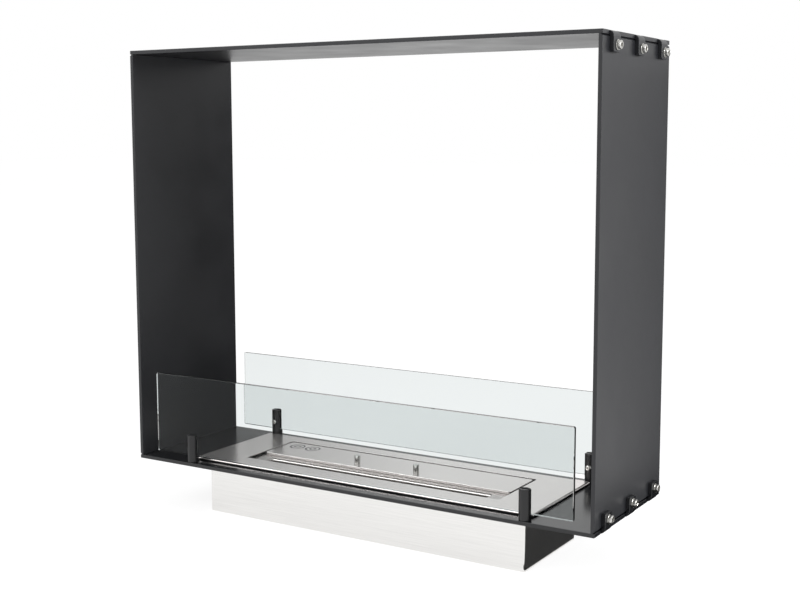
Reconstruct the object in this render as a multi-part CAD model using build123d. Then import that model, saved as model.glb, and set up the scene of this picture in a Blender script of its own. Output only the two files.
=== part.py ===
from build123d import *
import os

# Double-sided fireplace: a sheet-metal frame open at the front and the back, a burner hanging
# through its bottom plate, and a glass pane on each open side.
# Millimetres. +Z is up, -Y is the front, +X is to the right when seen from the front.
# The origin is the middle of the casing's underside, on which the fireplace stands.

# Frame of four plates
frame_width = 700.0
frame_height = 574.0
frame_depth = 210.0
plate_thickness = 5.0
plate_edge_break = 0.5

# Tabs of the top and bottom plates, bent over the side plates
tab_width = 20.0
tab_height = 24.0
tab_end_margin = 30.0
tab_inner_radius = 2.0
tab_corner_radius = 3.0
tab_relief_width = 1.5
tab_relief_depth = 5.0
tab_count = 3
side_plate_chamfer = 2.5

# Screws that join tabs and side plates
tab_screw_end_margin = 8.0
tab_screw_diameter = 6.0
tab_screw_head_diameter = 10.0
tab_screw_head_height = 4.0
tab_screw_head_chamfer = 0.6
tab_screw_socket_across = 5.0
tab_screw_socket_depth = 2.4
tab_screw_hole_clearance = 0.3
tab_screw_web = 1.0
tab_screw_tip_gap = 0.2
thread_fit = 0.05
tab_washer_diameter = 12.0
tab_washer_thickness = 1.6
tab_washer_bore_clearance = 0.2

# Glass panes, set between the side plates
glass_side_gap = 24.0
glass_height = 112.0
glass_thickness = 5.0
glass_rise = 8.5
glass_edge_break = 0.5
glass_corner_radius = 2.0

# Slotted posts that hold the glass
post_inset = 63.0
post_diameter = 15.5
post_height = 38.5
post_edge_margin = 0.25
post_chamfer = 0.6
liner_thickness = 0.6
liner_gap = 0.3
liner_seat_gap = 0.3
clamp_screw_rise = 20.0
clamp_screw_diameter = 4.0
clamp_screw_head_diameter = 7.6
clamp_screw_head_height = 2.2
clamp_screw_head_rim = 0.1
clamp_screw_socket_across = 2.5
clamp_screw_socket_depth = 1.3
clamp_screw_tip_gap = 0.1
post_screw_diameter = 5.0
post_screw_head_diameter = 10.0
post_screw_head_height = 2.8
post_screw_web = 1.6
post_screw_hole_clearance = 0.25
post_screw_socket_across = 3.0
post_screw_socket_depth = 1.6

# Flange of the burner, on top of the bottom plate, between the rows of posts
flange_post_gap = 5.25
flange_end_margin = 87.0
flange_rise = 4.0
flange_lip_gap = 1.7
flange_sheet = 1.2
flange_inner_radius = 0.3
recess_end_border = 63.5
recess_front_border = 34.5
recess_back_border = 25.0
recess_corner_radius = 4.0

# Casing of the burner, below the frame
casing_drop = 69.0
casing_wall = 1.5
casing_inner_radius = 1.5
casing_side_inset = 10.0
casing_end_inset = 16.0
casing_cutout_clearance = 2.0

# Sealing strip between the flange and the bottom plate
strip_lip_gap = 0.3
strip_cutout_margin = 1.0
strip_corner_radius = 1.5

# Studs that tie the flange to the bottom plate
stud_diameter = 5.0
stud_hole_clearance = 0.4
stud_below_plate = 8.0
stud_casing_gap = 8.5
stud_end_margin = 39.0
stud_row_count = 3
stud_washer_diameter = 10.0
stud_washer_thickness = 1.0
stud_nut_across = 8.0
stud_nut_height = 4.0

# Support frame round the recess, on which the tank hangs
ledge_sheet = 1.2
ledge_reach = 6.0

# Tank that hangs in the recess
recess_floor_drop = 3.6
tank_side_gap = 0.8
tank_end_gap = 2.8
tank_back_gap = 4.3
tank_sheet = 1.2
tank_body_gap = 1.5
tank_floor_gap = 13.7
tank_inner_radius = 1.8
collar_side_gap = 1.7
collar_end_gap = 13.6
collar_depth = 6.8
slot_width = 16.4
slot_corner_radius = 3.0
core_side_gap = 1.0
core_headroom = 12.0

# Sliding lid over the burning slot
lid_open_gap = 9.8
lid_end_gap = 3.0
lid_back_gap = 4.0
lid_sheet = 1.2
lid_glide_gap = 0.3

# Knobs of the lid
knob_diameter = 8.0
knob_height = 12.0
knob_chamfer = 0.6
knob_pitch = 94.6
knob_setback = 14.5
knob_screw_diameter = 4.0
knob_screw_length = 7.0
knob_screw_head_diameter = 7.0
knob_screw_head_height = 1.2

# One overrun serves all cuts that run past a face
overrun = 10.0

# Share of a bend's radius at which its middle point lies, along both axes
diagonal_share = 0.5 ** 0.5

# Heights that several pieces share
frame_base = casing_drop
deck = frame_base + plate_thickness
roof = frame_base + frame_height - plate_thickness
frame_top = frame_base + frame_height
flange_top = deck + flange_rise
flange_underside = flange_top - flange_sheet
recess_floor = flange_top - recess_floor_drop
tank_plate_underside = recess_floor - tank_sheet
tank_base = casing_wall + tank_floor_gap
tab_screw_rise = tab_height - tab_screw_end_margin
post_screw_engagement = glass_rise - liner_seat_gap - liner_thickness - post_screw_web

# Faces and rows that several pieces share
side_outer = frame_width / 2
side_inner = side_outer - plate_thickness
tab_outer_radius = tab_inner_radius + plate_thickness
tab_outer_face = side_outer + plate_thickness
tab_pitch = (frame_depth - 2 * tab_end_margin) / (tab_count - 1)
glass_width = 2 * (side_inner - glass_side_gap)
post_pitch = glass_width - 2 * post_inset
post_row = frame_depth / 2 - post_diameter / 2 - post_edge_margin

# Plan of the burner, from the outside to the inside
flange_length = frame_width - 2 * flange_end_margin
flange_width = 2 * (post_row - post_diameter / 2 - flange_post_gap)
flange_outer_radius = flange_inner_radius + flange_sheet
casing_length = flange_length - 2 * casing_end_inset
casing_width = flange_width - 2 * casing_side_inset
casing_outer_radius = casing_inner_radius + casing_wall
cutout_length = casing_length + 2 * casing_cutout_clearance
cutout_width = casing_width + 2 * casing_cutout_clearance
cutout_radius = casing_outer_radius + casing_cutout_clearance
stud_reach = casing_length / 2 + stud_casing_gap
stud_pitch = (flange_width - 2 * stud_end_margin) / (stud_row_count - 1)
recess_front = recess_front_border - flange_width / 2
recess_back = flange_width / 2 - recess_back_border
recess_width = recess_back - recess_front
recess_shift = (recess_front + recess_back) / 2
recess_length = flange_length - 2 * recess_end_border
tank_outer_radius = tank_inner_radius + tank_sheet
tank_length = recess_length - 2 * ledge_reach - 2 * tank_body_gap
tank_width = recess_width - 2 * ledge_reach - 2 * tank_body_gap
slot_length = tank_length - 4 * tank_sheet - 2 * collar_end_gap
slot_front = recess_front + ledge_reach + tank_body_gap + 2 * tank_sheet + collar_side_gap
slot_back = slot_front + slot_width
slot_middle = (slot_front + slot_back) / 2
lid_front = slot_back + lid_open_gap
lid_back = recess_back - lid_back_gap
knob_row = lid_front + knob_setback

parts = {}


def block(x_low, x_high, y_low, y_high, z_low, z_high):
    """A box between two opposite corners."""
    size = (x_high - x_low, y_high - y_low, z_high - z_low)
    middle = ((x_low + x_high) / 2, (y_low + y_high) / 2, (z_low + z_high) / 2)
    return Pos(*middle) * Box(*size)


def slab(length, width, radius, z_low, z_high, y_middle=0.0):
    """An upright prism with a round-cornered rectangle as its plan."""
    plan = Pos(0, y_middle, z_low) * RectangleRounded(length, width, radius)
    return extrude(plan, amount=z_high - z_low)


def rod(diameter, z_low, z_high):
    """An upright cylinder on the Z axis."""
    return Pos(0, 0, (z_low + z_high) / 2) * Cylinder(diameter / 2, z_high - z_low)


def hexagon(across, z_low, z_high):
    """An upright hexagonal prism, sized across its flats."""
    plan = Pos(0, 0, z_low) * RegularPolygon(across / 2, 6, major_radius=False)
    return extrude(plan, amount=z_high - z_low)


def mirrored(shape, plane):
    """A shape's mirror image, as a list of solids."""
    return [mirror(solid, about=plane) for solid in shape]


def keep(name, shapes):
    """Store one node as a list of separate solids."""
    solids = []
    for shape in shapes:
        solids.extend(shape.solids())
    parts[name] = solids


# Frame plates


def tab_rows():
    """Places of the tabs along the depth."""
    first = -tab_pitch * (tab_count - 1) / 2
    return [first + tab_pitch * index for index in range(tab_count)]


def tab_profile():
    """Section of one tab at the right-hand end of the top plate, in X and Z."""
    bend_start = side_outer - tab_inner_radius
    bend_height = roof - tab_inner_radius
    tab_end = frame_top - tab_height
    outer_swing = tab_outer_radius * diagonal_share
    inner_swing = tab_inner_radius * diagonal_share
    with BuildSketch(Plane.XZ) as section:
        with BuildLine():
            Polyline((bend_start, frame_top), (bend_start - tab_relief_depth, frame_top),
                     (bend_start - tab_relief_depth, roof), (bend_start, roof))
            ThreePointArc((bend_start, roof),
                          (bend_start + inner_swing, bend_height + inner_swing),
                          (side_outer, bend_height))
            Polyline((side_outer, bend_height), (side_outer, tab_end),
                     (tab_outer_face, tab_end), (tab_outer_face, bend_height))
            ThreePointArc((tab_outer_face, bend_height),
                          (bend_start + outer_swing, bend_height + outer_swing),
                          (bend_start, frame_top))
        make_face()
    return section.sketch


def top_tab(row):
    """One bent tab at the right-hand end of the top plate, with its screw hole."""
    tab = Pos(0, row + tab_width / 2, 0) * extrude(tab_profile(), amount=tab_width)
    tab_end = frame_top - tab_height
    lower_edges = tab.edges().filter_by(Axis.X).filter_by_position(
        Axis.Z, tab_end - plate_edge_break, tab_end + plate_edge_break)
    tab = fillet(lower_edges, tab_corner_radius)
    hole = Rot(0, 90, 0) * rod(tab_screw_diameter + 2 * tab_screw_hole_clearance, 0, frame_width)
    return tab - Pos(0, row, frame_top - tab_screw_rise) * hole


def flat_plate():
    """The top plate's flat, with a relief slot on either side of each tab."""
    plate = block(-side_outer, side_outer, -frame_depth / 2, frame_depth / 2, roof, frame_top)
    upright = plate.edges().filter_by(Axis.Z)
    plate = chamfer(upright, plate_edge_break)
    slot_reach = side_outer - tab_inner_radius - tab_relief_depth
    slot_half = tab_width / 2 + tab_relief_width
    for row in tab_rows():
        for side in (-1, 1):
            near, far = sorted((side * slot_reach, side * (side_outer + overrun)))
            notch = block(near, far, row - slot_half, row + slot_half, roof - overrun,
                          frame_top + overrun)
            plate -= notch
    return plate


def top_plate():
    """The top plate with its six tabs, in one piece of sheet."""
    plate = flat_plate()
    for row in tab_rows():
        tab = top_tab(row)
        plate += tab
        plate += mirror(tab, about=Plane.YZ)
    return plate


def bottom_plate():
    """The top plate's twin upside down, with the holes for the burner and the posts."""
    centre_height = frame_base + frame_height / 2
    plate = mirror(top_plate(), about=Plane.XY.offset(centre_height))
    plate -= slab(cutout_length, cutout_width, cutout_radius,
                  frame_base - overrun, deck + overrun)
    for x, y in stud_places():
        plate -= Pos(x, y, 0) * rod(stud_diameter + 2 * stud_hole_clearance,
                                    frame_base - overrun, deck + overrun)
    for x, y in post_places():
        plate -= Pos(x, y, 0) * post_screw_envelope(thread_fit, post_screw_hole_clearance)
    return plate


def side_plate():
    """The right side plate, between the top and bottom plates, with its blind tapped holes."""
    plate = block(side_inner, side_outer, -frame_depth / 2, frame_depth / 2, deck, roof)
    outer_ends = plate.edges().filter_by(Axis.Y).group_by(Axis.X)[-1]
    plate = chamfer(outer_ends, side_plate_chamfer)
    for x, y, z in tab_screw_places():
        hole = Rot(0, 90, 0) * rod(tab_screw_diameter + 2 * thread_fit,
                                   tab_screw_web - plate_thickness, overrun)
        plate -= Pos(side_outer, y, z) * hole
    return plate


# Screws of the tabs


def tab_screw_places():
    """Where the screws of the right-hand side meet the outer faces of the tabs."""
    places = []
    for z in (frame_base + tab_screw_rise, frame_top - tab_screw_rise):
        for row in tab_rows():
            places.append((tab_outer_face, row, z))
    return places


def socket_screw(diameter, head_diameter, head_height, head_chamfer, across, depth, shank):
    """A low-head socket screw with its head on top, the head's seat at height zero."""
    head = rod(head_diameter, 0, head_height)
    head = chamfer(head.edges().group_by(Axis.Z)[-1], head_chamfer)
    screw = head + rod(diameter, -shank, 0)
    return screw - hexagon(across, head_height - depth, head_height + overrun)


def tab_screws():
    """The six screws of the right-hand side."""
    shank = (tab_washer_thickness + 2 * plate_thickness
             - tab_screw_web - tab_screw_tip_gap)
    screw = socket_screw(tab_screw_diameter, tab_screw_head_diameter, tab_screw_head_height,
                         tab_screw_head_chamfer, tab_screw_socket_across,
                         tab_screw_socket_depth, shank)
    turned = Rot(0, 90, 0) * screw
    return [Pos(x + tab_washer_thickness, y, z) * turned for x, y, z in tab_screw_places()]


def tab_washers():
    """The six washers of the right-hand side."""
    bore = tab_screw_diameter + 2 * tab_washer_bore_clearance
    washer = rod(tab_washer_diameter, 0, tab_washer_thickness)
    washer -= rod(bore, -overrun, overrun)
    turned = Rot(0, 90, 0) * washer
    return [Pos(*place) * turned for place in tab_screw_places()]


# Posts and glass


def post_places():
    """Where the four posts stand."""
    return [(x, y) for y in (-post_row, post_row) for x in (-post_pitch / 2, post_pitch / 2)]


def post_screw_envelope(head_gap, shank_gap):
    """The countersunk screw that holds a post down, from below, with play round it."""
    head = Pos(0, 0, frame_base + post_screw_head_height / 2) * Cone(
        post_screw_head_diameter / 2 + head_gap, post_screw_diameter / 2 + head_gap,
        post_screw_head_height)
    shank = rod(post_screw_diameter + 2 * shank_gap, frame_base, deck + post_screw_engagement)
    return head + shank


def slot_walls():
    """Half the width of a post's slot, for the glass, its liner and the play between them."""
    return glass_thickness / 2 + liner_gap + liner_thickness


def slot_floor():
    """Height of the slot's floor."""
    return deck + glass_rise - liner_seat_gap - liner_thickness


def front_post():
    """A slotted post at the front, at the middle of the width."""
    top = deck + post_height
    post = Pos(0, -post_row, 0) * rod(post_diameter, deck, top)
    rims = post.edges().filter_by(GeomType.CIRCLE)
    post = chamfer(rims, post_chamfer)
    half_slot = slot_walls()
    post -= block(-post_diameter, post_diameter, -post_row - half_slot, -post_row + half_slot,
                  slot_floor(), top + overrun)
    post -= Pos(0, -post_row, 0) * post_screw_envelope(thread_fit, thread_fit)
    reach = post_diameter
    bore = Rot(-90, 0, 0) * rod(clamp_screw_diameter + 2 * thread_fit, 0, reach)
    return post - Pos(0, -post_row, deck + clamp_screw_rise) * bore


def liner():
    """The soft liner between the glass and a front post, open at the top."""
    half_outer = slot_walls()
    half_inner = half_outer - liner_thickness
    half_length = post_diameter / 2 - post_chamfer
    top = deck + post_height - post_chamfer
    floor = slot_floor()
    shell = block(-half_length, half_length, -post_row - half_outer, -post_row + half_outer,
                  floor, top)
    hollow = block(-post_diameter, post_diameter, -post_row - half_inner,
                   -post_row + half_inner, floor + liner_thickness, top + overrun)
    return shell - hollow


def clamp_screw():
    """The round-headed screw that clamps the glass in a front post, from the burner's side."""
    tip = slot_walls() + clamp_screw_tip_gap
    seat = post_diameter / 2
    head = Pos(0, 0, seat) * rod(clamp_screw_head_diameter, 0, clamp_screw_head_height)
    dome = clamp_screw_head_height - clamp_screw_head_rim
    head = fillet(head.edges().group_by(Axis.Z)[-1], dome)
    screw = head + rod(clamp_screw_diameter, tip, seat)
    top = seat + clamp_screw_head_height
    screw -= hexagon(clamp_screw_socket_across, top - clamp_screw_socket_depth, top + overrun)
    return Pos(0, -post_row, deck + clamp_screw_rise) * Rot(-90, 0, 0) * screw


def post_screw():
    """The countersunk screw under a front post."""
    screw = Pos(0, -post_row, 0) * post_screw_envelope(0, 0)
    socket = Pos(0, -post_row, 0) * hexagon(post_screw_socket_across, frame_base - overrun,
                                            frame_base + post_screw_socket_depth)
    return screw - socket


def at_four_posts(shape):
    """Copies of a front piece at the four posts, in the order of post_places."""
    back = mirror(shape, about=Plane.XZ)
    copies = []
    for x, y in post_places():
        copies.append(Pos(x, 0, 0) * (shape if y < 0 else back))
    return copies


def glass_pane():
    """The front pane."""
    low = deck + glass_rise
    middle = low + glass_height / 2
    plan = Plane.XZ * Pos(0, middle) * RectangleRounded(glass_width, glass_height,
                                                        glass_corner_radius)
    pane = Pos(0, -post_row + glass_thickness / 2, 0) * extrude(plan, amount=glass_thickness)
    rims = pane.faces().filter_by(Axis.Y).edges()
    return chamfer(rims, glass_edge_break)


# Burner casing and flange


def burner_casing():
    """The open-topped casing that hangs through the bottom plate and carries the whole."""
    shell = slab(casing_length, casing_width, casing_outer_radius, 0, flange_underside)
    inner = slab(casing_length - 2 * casing_wall, casing_width - 2 * casing_wall,
                 casing_inner_radius, casing_wall, flange_underside + overrun)
    return shell - inner


def burner_flange():
    """The flange with its opening and its folded lip, which ends just above the plate."""
    shell = slab(flange_length, flange_width, flange_outer_radius, deck + flange_lip_gap,
                 flange_top)
    inner = slab(flange_length - 2 * flange_sheet, flange_width - 2 * flange_sheet,
                 flange_inner_radius, deck - overrun, flange_underside)
    opening = slab(recess_length, recess_width, recess_corner_radius,
                   deck - overrun, flange_top + overrun, recess_shift)
    return shell - inner - opening


def sealing_strip():
    """The flat ring of fibre on which the flange lies, with its holes for the studs."""
    inset = flange_sheet + strip_lip_gap
    strip = slab(flange_length - 2 * inset, flange_width - 2 * inset, strip_corner_radius,
                 deck, flange_underside)
    strip -= slab(cutout_length + 2 * strip_cutout_margin,
                  cutout_width + 2 * strip_cutout_margin,
                  cutout_radius + strip_cutout_margin, deck - overrun,
                  flange_underside + overrun)
    hole = rod(stud_diameter + 2 * stud_hole_clearance, deck - overrun,
               flange_underside + overrun)
    for x, y in stud_places():
        strip -= Pos(x, y, 0) * hole
    return strip


def support_frame():
    """The angle ring under the opening, with the ledge that carries the tank."""
    ring_base = tank_plate_underside - ledge_sheet
    wall = slab(recess_length + 2 * ledge_sheet, recess_width + 2 * ledge_sheet,
                recess_corner_radius + ledge_sheet, ring_base, flange_underside, recess_shift)
    well = slab(recess_length, recess_width, recess_corner_radius, tank_plate_underside,
                flange_underside + overrun, recess_shift)
    passage = slab(recess_length - 2 * ledge_reach, recess_width - 2 * ledge_reach,
                   tank_outer_radius + tank_body_gap, ring_base - overrun,
                   flange_underside + overrun, recess_shift)
    return wall - well - passage


def stud_places():
    """Where the studs stand, under both ends of the flange."""
    first = -stud_pitch * (stud_row_count - 1) / 2
    rows = [first + stud_pitch * index for index in range(stud_row_count)]
    return [(x, y) for x in (-stud_reach, stud_reach) for y in rows]


def flange_studs():
    """The studs welded under the flange."""
    low = frame_base - stud_below_plate
    return [Pos(x, y, 0) * rod(stud_diameter, low, flange_underside) for x, y in stud_places()]


def stud_washers():
    """The washers under the bottom plate."""
    low = frame_base - stud_washer_thickness
    washer = rod(stud_washer_diameter, low, frame_base)
    washer -= rod(stud_diameter + 2 * stud_hole_clearance, low - overrun, frame_base + overrun)
    return [Pos(x, y, 0) * washer for x, y in stud_places()]


def stud_nuts():
    """The nuts below those washers."""
    high = frame_base - stud_washer_thickness
    nut = hexagon(stud_nut_across, high - stud_nut_height, high)
    nut -= rod(stud_diameter + 2 * thread_fit, high - overrun, high + overrun)
    return [Pos(x, y, 0) * nut for x, y in stud_places()]


# Tank


def tank_top():
    """The sunk plate with the burning slot, which rests on the ledge."""
    front = recess_front + tank_side_gap
    back = recess_back - tank_back_gap
    plate = slab(recess_length - 2 * tank_end_gap, back - front, recess_corner_radius,
                 tank_plate_underside, recess_floor, (front + back) / 2)
    return plate - slab(slot_length, slot_width, slot_corner_radius,
                        tank_plate_underside - overrun, recess_floor + overrun, slot_middle)


def slot_collar():
    """The collar welded round the burning slot, under the sunk plate."""
    low = tank_plate_underside - collar_depth
    collar = slab(slot_length + 2 * tank_sheet, slot_width + 2 * tank_sheet,
                  slot_corner_radius + tank_sheet, low, tank_plate_underside, slot_middle)
    return collar - slab(slot_length, slot_width, slot_corner_radius, low - overrun,
                         tank_plate_underside + overrun, slot_middle)


def tank_shell():
    """The tank's deep tray, welded under the sunk plate."""
    shell = slab(tank_length, tank_width, tank_outer_radius, tank_base,
                 tank_plate_underside, recess_shift)
    inner = slab(tank_length - 2 * tank_sheet, tank_width - 2 * tank_sheet,
                 tank_inner_radius, tank_base + tank_sheet,
                 tank_plate_underside + overrun, recess_shift)
    return shell - inner


def fibre_core():
    """The block of ceramic fibre that soaks up the fuel."""
    inset = tank_sheet + core_side_gap
    return slab(tank_length - 2 * inset, tank_width - 2 * inset, tank_inner_radius,
                tank_base + tank_sheet, tank_plate_underside - core_headroom, recess_shift)


# Lid


def knob_places():
    """Where the two knobs stand."""
    return [(-knob_pitch / 2, knob_row), (knob_pitch / 2, knob_row)]


def sliding_lid():
    """The lid, a shallow inverted tray that stands open behind the slot."""
    length = recess_length - 2 * lid_end_gap
    width = lid_back - lid_front
    middle = (lid_front + lid_back) / 2
    low = recess_floor + lid_glide_gap
    radius = recess_corner_radius
    shell = slab(length, width, radius, low, flange_top, middle)
    inner = slab(length - 2 * lid_sheet, width - 2 * lid_sheet, radius - lid_sheet,
                 low - overrun, flange_top - lid_sheet, middle)
    lid = shell - inner
    for x, y in knob_places():
        lid -= Pos(x, y, 0) * rod(knob_screw_diameter + 2 * thread_fit, deck,
                                  flange_top + overrun)
    return lid


def lid_knob():
    """One knob on the lid, at the origin of the plan, tapped from below."""
    knob = rod(knob_diameter, flange_top, flange_top + knob_height)
    knob = chamfer(knob.edges().group_by(Axis.Z)[-1], knob_chamfer)
    return knob - rod(knob_screw_diameter + 2 * thread_fit, flange_top - overrun,
                      flange_top + knob_screw_length)


def knob_screw():
    """The flat-headed screw that holds a knob from under the lid."""
    seat = flange_top - lid_sheet
    head = rod(knob_screw_head_diameter, seat - knob_screw_head_height, seat)
    return head + rod(knob_screw_diameter, seat, seat + knob_screw_length)


def build():
    """Make every node."""
    right_side = side_plate()
    keep("top_plate", [top_plate()])
    keep("bottom_plate", [bottom_plate()])
    keep("right_side_plate", [right_side])
    keep("left_side_plate", [mirror(right_side, about=Plane.YZ)])
    keep("right_tab_screws", tab_screws())
    keep("left_tab_screws", mirrored(tab_screws(), Plane.YZ))
    keep("right_tab_washers", tab_washers())
    keep("left_tab_washers", mirrored(tab_washers(), Plane.YZ))
    names = ("front_left_post", "front_right_post", "back_left_post", "back_right_post")
    for name, post in zip(names, at_four_posts(front_post())):
        keep(name, [post])
    keep("glass_liners", at_four_posts(liner()))
    keep("clamp_screws", at_four_posts(clamp_screw()))
    keep("post_screws", at_four_posts(post_screw()))
    pane = glass_pane()
    keep("front_glass", [pane])
    keep("back_glass", [mirror(pane, about=Plane.XZ)])
    keep("burner_casing", [burner_casing()])
    keep("burner_flange", [burner_flange()])
    keep("sealing_strip", [sealing_strip()])
    keep("tank_support_frame", [support_frame()])
    keep("flange_studs", flange_studs())
    keep("stud_washers", stud_washers())
    keep("stud_nuts", stud_nuts())
    keep("tank_top", [tank_top()])
    keep("slot_collar", [slot_collar()])
    keep("tank_shell", [tank_shell()])
    keep("fibre_core", [fibre_core()])
    keep("sliding_lid", [sliding_lid()])
    knob = lid_knob()
    screw = knob_screw()
    for name, place in zip(("left_lid_knob", "right_lid_knob"), knob_places()):
        keep(name, [Pos(*place, 0) * knob])
    keep("knob_screws", [Pos(*place, 0) * screw for place in knob_places()])


build()
os.makedirs("parts", exist_ok=True)
for node, solids in parts.items():
    shape = solids[0] if len(solids) == 1 else Compound(children=solids)
    export_step(shape, f"parts/{node}.step")
    print(node, len(solids), round(sum(solid.volume for solid in solids), 1))
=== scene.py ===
"""Studio view of a double-sided fireplace: its finishes, its fine detail, the light and the camera.

The exact model is loaded first and keeps its place. Plates, posts and burner parts get eased edges,
the fasteners are made again with their sockets and threads, the tank gets its folded fibre blanket,
and every surface gets the finish of its real material, some with painted shade and painted light in
their colour. Cards that only mirror rays see paint reflections into the steel. Lengths are in metres.
Those of the object are written in millimetres times MM. +Z is up and -Y is the front.
"""

import logging
import math
from dataclasses import dataclass
from enum import Enum

import bmesh
import bpy
from bmesh.types import BMesh
from bpy.types import Material, Mesh, Node, NodeOutputs, NodeSocket, NodeTree, Object, World
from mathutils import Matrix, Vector, noise


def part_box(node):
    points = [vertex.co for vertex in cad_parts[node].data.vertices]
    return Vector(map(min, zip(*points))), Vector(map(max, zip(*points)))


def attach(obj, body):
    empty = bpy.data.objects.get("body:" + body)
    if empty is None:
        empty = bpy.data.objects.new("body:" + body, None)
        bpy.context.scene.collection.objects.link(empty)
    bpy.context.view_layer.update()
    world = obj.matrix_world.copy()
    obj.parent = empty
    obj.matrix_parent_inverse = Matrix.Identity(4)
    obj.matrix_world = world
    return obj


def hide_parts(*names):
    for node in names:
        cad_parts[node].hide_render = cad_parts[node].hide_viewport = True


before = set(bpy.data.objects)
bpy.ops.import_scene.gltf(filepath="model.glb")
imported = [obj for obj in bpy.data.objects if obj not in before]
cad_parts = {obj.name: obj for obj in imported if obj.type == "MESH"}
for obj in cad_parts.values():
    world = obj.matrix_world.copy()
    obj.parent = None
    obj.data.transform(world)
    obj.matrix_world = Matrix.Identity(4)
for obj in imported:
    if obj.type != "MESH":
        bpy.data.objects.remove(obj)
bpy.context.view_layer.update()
log = logging.getLogger("fireplace")

Pair = tuple[float, float]
Point = tuple[float, float, float]
# Names of a shader's inputs, with their values
Traits = tuple[tuple[str, float], ...]
MM = 0.001
WELD = 0.0005 * MM
# Edges that turn by more than this are eased, and stay sharp in a smooth surface
EASED_ANGLE = math.radians(35)
# Faces that turn by less than this are one flat face
FLAT_ANGLE = math.radians(0.2)
# A wave texture of scale one repeats about every 0.32 m
WAVE_PITCH = 0.3183
TURNING = "turning"
AXIS = "axis"
HEX_SIDES = 6
WHITE = (1.0, 1.0, 1.0, 1.0)


def linear(hex_colour: str) -> tuple[float, float, float, float]:
    """Turn an sRGB hex colour into a linear one.

    Args:
        hex_colour: a colour such as "#2b2c30".

    Returns:
        Red, green, blue and an alpha of one, in linear light.
    """
    channels = [int(hex_colour[start:start + 2], 16) / 255 for start in (1, 3, 5)]
    # The curve of the sRGB standard, with its straight foot
    curved = [c / 12.92 if c <= 0.04045 else ((c + 0.055) / 1.055) ** 2.4 for c in channels]
    return (*curved, 1.0)


def add_node(tree: NodeTree, kind: str, inputs: dict | None = None, **settings: object) -> Node:
    """Add one node to a tree, with its settings, its values and its links.

    Args:
        tree: the node tree that gets the node.
        kind: the node's type name.
        inputs: for each input, by name or index, a value or the output socket that feeds it.
        **settings: properties of the node, such as its operation.

    Returns:
        The new node.
    """
    node = tree.nodes.new(kind)
    for name, value in settings.items():
        setattr(node, name, value)
    for key, value in (inputs or {}).items():
        if isinstance(key, int):
            socket = node.inputs[key]
        else:
            socket = next(s for s in node.inputs if s.enabled and s.name == key)
        if isinstance(value, NodeSocket):
            tree.links.new(value, socket)
        else:
            socket.default_value = value
    return node


def blank_tree(owner: Material | World) -> NodeTree:
    """Give a material or a world a node tree without nodes.

    Args:
        owner: the material or the world.

    Returns:
        Its node tree.
    """
    owner.use_nodes = True
    owner.node_tree.nodes.clear()
    return owner.node_tree


def new_object(name: str, data: bpy.types.ID) -> Object:
    """Put a new object into the scene.

    Args:
        name: the object's name.
        data: its mesh, lamp or camera.

    Returns:
        The object.
    """
    made = bpy.data.objects.new(name, data)
    bpy.context.scene.collection.objects.link(made)
    return made


def evenly(first: float, last: float, count: int) -> list[float]:
    """Values at even steps, from the first to the last."""
    return [first + (last - first) * step / (count - 1) for step in range(count)]


class Grain(Enum):
    """The way a sheet was brushed, as the direction of its scratches."""

    ACROSS = (1.0, 0.0, 0.0)
    DEEP = (0.0, 1.0, 0.0)


@dataclass(frozen=True)
class Finish:
    """A surface finish: the name of its material and the slot of the record that it stands for."""

    name: str
    slot: str

    def material(self) -> Material:
        """Make the material on first use.

        Returns:
            The one material of this finish.
        """
        made = bpy.data.materials.get(self.name)
        if made is None:
            made = bpy.data.materials.new(self.name)
            self.shade(blank_tree(made))
        return made

    def shade(self, tree: NodeTree) -> None:
        """Fill the material's node tree."""
        raise NotImplementedError


@dataclass(frozen=True)
class Skin(Finish):
    """An opaque finish: a colour, or two that a pattern mixes, a gloss and a small relief."""

    colour: str = "#808080"
    second_colour: str = "#808080"
    roughness: float = 0.5
    # How far the roughness falls and rises, and the values of the pattern between which it does
    spread: Pair = (0.0, 0.0)
    wear_span: Pair = (0.0, 1.0)
    relief_height: float = 0.02 * MM
    nature: Traits = ()

    def coat(self, tree: NodeTree, relief: NodeSocket, tones: NodeSocket | None = None,
             wear: NodeSocket | None = None, inputs: dict | None = None) -> None:
        """Join the finish's patterns to its surface.

        Args:
            tree: the material's node tree.
            relief: the pattern that lifts the surface.
            tones: the share of the second colour, or None for an even colour.
            wear: the pattern that makes the gloss uneven, or None.
            inputs: more inputs of the surface shader.
        """
        colour = linear(self.colour)
        if tones is not None:
            colour = add_node(tree, "ShaderNodeMix", {
                "Factor": tones, "A": colour, "B": linear(self.second_colour)},
                data_type="RGBA").outputs[2]
        gloss = self.roughness
        if wear is not None:
            gloss = add_node(tree, "ShaderNodeMapRange", {
                "Value": wear, "From Min": self.wear_span[0], "From Max": self.wear_span[1],
                "To Min": gloss - self.spread[0], "To Max": gloss + self.spread[1]}).outputs[0]
        bump = add_node(tree, "ShaderNodeBump", {
            "Height": relief, "Distance": self.relief_height, "Strength": 1.0}).outputs[0]
        shader = add_node(tree, "ShaderNodeBsdfPrincipled", {
            "Base Color": self.marked(tree, colour), "Roughness": gloss, "Normal": bump,
            **dict(self.nature), **(inputs or {})}).outputs[0]
        add_node(tree, "ShaderNodeOutputMaterial", {"Surface": shader})

    def marked(self, tree: NodeTree, colour: NodeSocket | tuple) -> NodeSocket | tuple:
        """The colour with any marks on it: a plain finish has none."""
        return colour


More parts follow.
